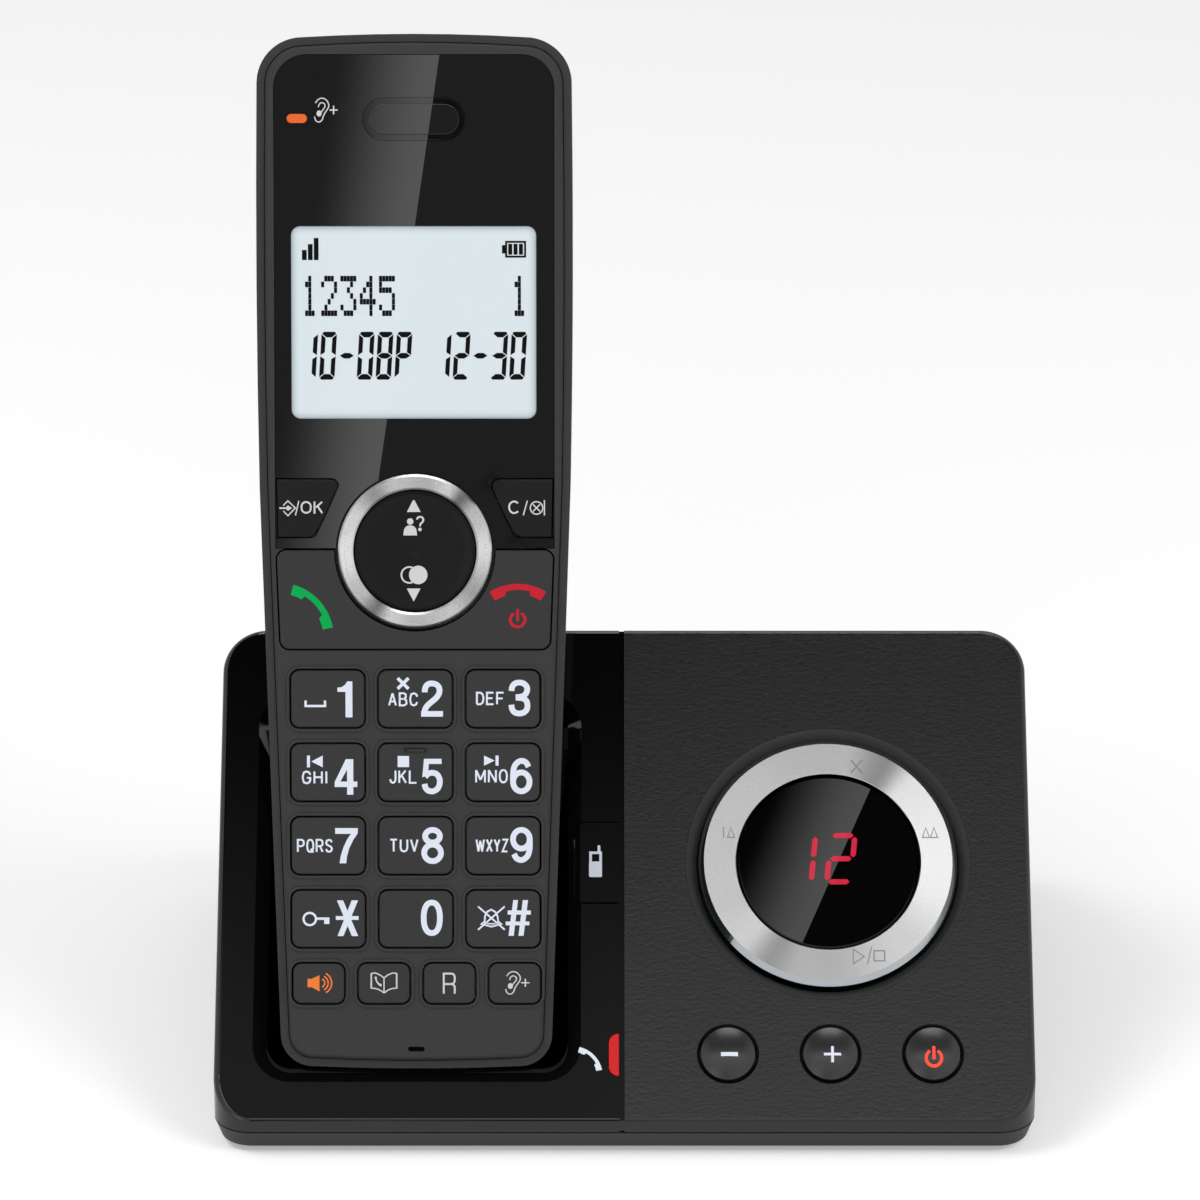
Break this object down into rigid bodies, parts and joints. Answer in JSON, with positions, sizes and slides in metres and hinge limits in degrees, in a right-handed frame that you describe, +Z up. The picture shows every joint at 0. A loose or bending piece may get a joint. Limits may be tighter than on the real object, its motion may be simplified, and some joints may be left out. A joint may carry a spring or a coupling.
{
  "type": "cordless telephone with answering machine",
  "caption": "Cordless telephone standing in a charging base with a built-in answering machine, a four-way rocking ring round a digit display, and sprung keys.",
  "frame": {"origin": "on the table, in the middle of the base's footprint", "axes": "+Z up, +X to the right seen from the front, -Y to the front, where the panel and keypad face"},
  "size_m": [0.1276, 0.09, 0.1619],
  "materials": {
    "handset_shell": "fine matte moulding",
    "key_cap": "matte moulded keys",
    "window_gloss": "polished",
    "lcd_glass": "polarised display cell",
    "nav_silver": "spun brushed ring",
    "dial_silver": "satin ring",
    "cover_gloss": "high gloss black",
    "cover_matte": "fine spark texture",
    "shell_dark": "matte",
    "lens_dark": "polished smoked lens",
    "button_dark": "satin domed caps",
    "light_red": "lit light guide",
    "light_orange": "lit light guide",
    "soft_rubber": "matte rubber",
    "mat_rubber": "silicone",
    "circuit_board": "solder mask",
    "socket_plastic": "moulded nylon",
    "speaker_black": "coated paper and frame",
    "cell_wrap": "shrink sleeve",
    "spring_steel": "nickel plated",
    "contact_gold": "plated contact",
    "screw_steel": "zinc plated",
    "ear_trim": "matte insert"
  },
  "bodies": {
    "base": {"base_board": "circuit_board", "base_lower_shell": "shell_dark", "base_screws": "screw_steel", "button_mat": "mat_rubber", "control_cover": "cover_matte", "cradle_cover": "cover_gloss", "display_lens": "lens_dark", "led_display": "lens_dark", "line_jack": "socket_plastic", "loudspeaker": "speaker_black", "message_light": "light_red", "panel_board": "circuit_board", "power_jack": "socket_plastic", "rubber_feet": "soft_rubber"},
    "handset": {"batteries": "cell_wrap", "battery_contacts": "spring_steel", "charge_strips": "contact_gold", "display_window": "window_gloss", "earpiece_insert": "ear_trim", "earpiece_speaker": "speaker_black", "handset_board": "circuit_board", "handset_front_shell": "handset_shell", "handset_rear_shell": "handset_shell", "handset_screws": "screw_steel", "handset_sounder": "speaker_black", "indicator_light": "light_orange", "keypad_mat": "mat_rubber", "lcd_module": "lcd_glass", "microphone": "speaker_black", "nav_ring": "nav_silver"},
    "dial_pad": {"dial_pad": "mat_rubber"},
    "dial_ring": {"dial_ring": "dial_silver"},
    "volume_down_button": {"volume_down_button": "button_dark"},
    "volume_up_button": {"volume_up_button": "button_dark"},
    "answer_power_button": {"answer_power_button": "button_dark"},
    "page_button": {"page_button": "cover_gloss"},
    "charge_pins": {"charge_pins": "contact_gold"},
    "talk_off_key": {"talk_off_key": "key_cap"},
    "nav_disc": {"nav_disc": "key_cap"},
    "battery_door": {"battery_door": "handset_shell"},
    "key_0": {"key_0": "key_cap"},
    "key_1": {"key_1": "key_cap"},
    "key_2": {"key_2": "key_cap"},
    "key_3": {"key_3": "key_cap"},
    "key_4": {"key_4": "key_cap"},
    "key_5": {"key_5": "key_cap"},
    "key_6": {"key_6": "key_cap"},
    "key_7": {"key_7": "key_cap"},
    "key_8": {"key_8": "key_cap"},
    "key_9": {"key_9": "key_cap"},
    "key_star": {"key_star": "key_cap"},
    "key_hash": {"key_hash": "key_cap"},
    "speaker_key": {"speaker_key": "key_cap"},
    "phonebook_key": {"phonebook_key": "key_cap"},
    "recall_key": {"recall_key": "key_cap"},
    "boost_key": {"boost_key": "key_cap"},
    "soft_key_left": {"soft_key_left": "key_cap"},
    "soft_key_right": {"soft_key_right": "key_cap"}
  },
  "joints": [
    {"name": "handset_lift", "type": "slide", "parent": "base", "child": "handset", "axis": [0, 0.342, 0.9397], "range_m": [0, 0.1]},
    {"name": "volume_down_button_press", "type": "slide", "parent": "base", "child": "volume_down_button", "axis": [0, 0.6947, -0.7193], "range_m": [0, 0.0008], "stiffness_N_per_m": 500},
    {"name": "volume_up_button_press", "type": "slide", "parent": "base", "child": "volume_up_button", "axis": [0, 0.6947, -0.7193], "range_m": [0, 0.0008], "stiffness_N_per_m": 500},
    {"name": "answer_power_button_press", "type": "slide", "parent": "base", "child": "answer_power_button", "axis": [0, 0.6947, -0.7193], "range_m": [0, 0.0008], "stiffness_N_per_m": 500},
    {"name": "page_button_press", "type": "slide", "parent": "base", "child": "page_button", "axis": [0, 0.6947, -0.7193], "range_m": [0, 0.0008], "stiffness_N_per_m": 500},
    {"name": "charge_pins_travel", "type": "slide", "parent": "base", "child": "charge_pins", "axis": [0, 0.342, 0.9397], "range_m": [-0.0008, 0], "stiffness_N_per_m": 200},
    {"name": "dial_rock_up_down", "type": "hinge", "parent": "base", "child": "dial_pad", "pos_m": [0.032, -0.0127, 0.03322], "axis": [1, 0, 0], "range_deg": [-1.5, 1.5], "stiffness_Nm_per_rad": 0.5},
    {"name": "dial_rock_left_right", "type": "hinge", "parent": "dial_pad", "child": "dial_ring", "pos_m": [0.032, -0.0127, 0.03322], "axis": [0, 0.7193, 0.6947], "range_deg": [-1.5, 1.5], "stiffness_Nm_per_rad": 0.5},
    {"name": "key_0_press", "type": "slide", "parent": "handset", "child": "key_0", "axis": [0, 0.9397, -0.342], "range_m": [0, 0.0006], "stiffness_N_per_m": 500},
    {"name": "key_1_press", "type": "slide", "parent": "handset", "child": "key_1", "axis": [0, 0.9397, -0.342], "range_m": [0, 0.0006], "stiffness_N_per_m": 500},
    {"name": "key_2_press", "type": "slide", "parent": "handset", "child": "key_2", "axis": [0, 0.9397, -0.342], "range_m": [0, 0.0006], "stiffness_N_per_m": 500},
    {"name": "key_3_press", "type": "slide", "parent": "handset", "child": "key_3", "axis": [0, 0.9397, -0.342], "range_m": [0, 0.0006], "stiffness_N_per_m": 500},
    {"name": "key_4_press", "type": "slide", "parent": "handset", "child": "key_4", "axis": [0, 0.9397, -0.342], "range_m": [0, 0.0006], "stiffness_N_per_m": 500},
    {"name": "key_5_press", "type": "slide", "parent": "handset", "child": "key_5", "axis": [0, 0.9397, -0.342], "range_m": [0, 0.0006], "stiffness_N_per_m": 500},
    {"name": "key_6_press", "type": "slide", "parent": "handset", "child": "key_6", "axis": [0, 0.9397, -0.342], "range_m": [0, 0.0006], "stiffness_N_per_m": 500},
    {"name": "key_7_press", "type": "slide", "parent": "handset", "child": "key_7", "axis": [0, 0.9397, -0.342], "range_m": [0, 0.0006], "stiffness_N_per_m": 500},
    {"name": "key_8_press", "type": "slide", "parent": "handset", "child": "key_8", "axis": [0, 0.9397, -0.342], "range_m": [0, 0.0006], "stiffness_N_per_m": 500},
    {"name": "key_9_press", "type": "slide", "parent": "handset", "child": "key_9", "axis": [0, 0.9397, -0.342], "range_m": [0, 0.0006], "stiffness_N_per_m": 500},
    {"name": "key_star_press", "type": "slide", "parent": "handset", "child": "key_star", "axis": [0, 0.9397, -0.342], "range_m": [0, 0.0006], "stiffness_N_per_m": 500},
    {"name": "key_hash_press", "type": "slide", "parent": "handset", "child": "key_hash", "axis": [0, 0.9397, -0.342], "range_m": [0, 0.0006], "stiffness_N_per_m": 500},
    {"name": "speaker_key_press", "type": "slide", "parent": "handset", "child": "speaker_key", "axis": [0, 0.9397, -0.342], "range_m": [0, 0.0006], "stiffness_N_per_m": 500},
    {"name": "phonebook_key_press", "type": "slide", "parent": "handset", "child": "phonebook_key", "axis": [0, 0.9397, -0.342], "range_m": [0, 0.0006], "stiffness_N_per_m": 500},
    {"name": "recall_key_press", "type": "slide", "parent": "handset", "child": "recall_key", "axis": [0, 0.9397, -0.342], "range_m": [0, 0.0006], "stiffness_N_per_m": 500},
    {"name": "boost_key_press", "type": "slide", "parent": "handset", "child": "boost_key", "axis": [0, 0.9397, -0.342], "range_m": [0, 0.0006], "stiffness_N_per_m": 500},
    {"name": "soft_key_left_press", "type": "slide", "parent": "handset", "child": "soft_key_left", "axis": [0, 0.9397, -0.342], "range_m": [0, 0.0006], "stiffness_N_per_m": 500},
    {"name": "soft_key_right_press", "type": "slide", "parent": "handset", "child": "soft_key_right", "axis": [0, 0.9397, -0.342], "range_m": [0, 0.0006], "stiffness_N_per_m": 500},
    {"name": "talk_off_rock", "type": "hinge", "parent": "handset", "child": "talk_off_key", "pos_m": [-0.0323, -0.01171, 0.07971], "axis": [0, 0.342, 0.9397], "range_deg": [-1.5, 1.5], "stiffness_Nm_per_rad": 0.1},
    {"name": "nav_rock", "type": "hinge", "parent": "handset", "child": "nav_disc", "pos_m": [-0.0323, -0.00957, 0.08707], "axis": [1, 0, 0], "range_deg": [-2, 2], "stiffness_Nm_per_rad": 0.1},
    {"name": "battery_door_lift", "type": "slide", "parent": "handset", "child": "battery_door", "axis": [0, 0.9397, -0.342], "range_m": [0, 0.015]}
  ]
}
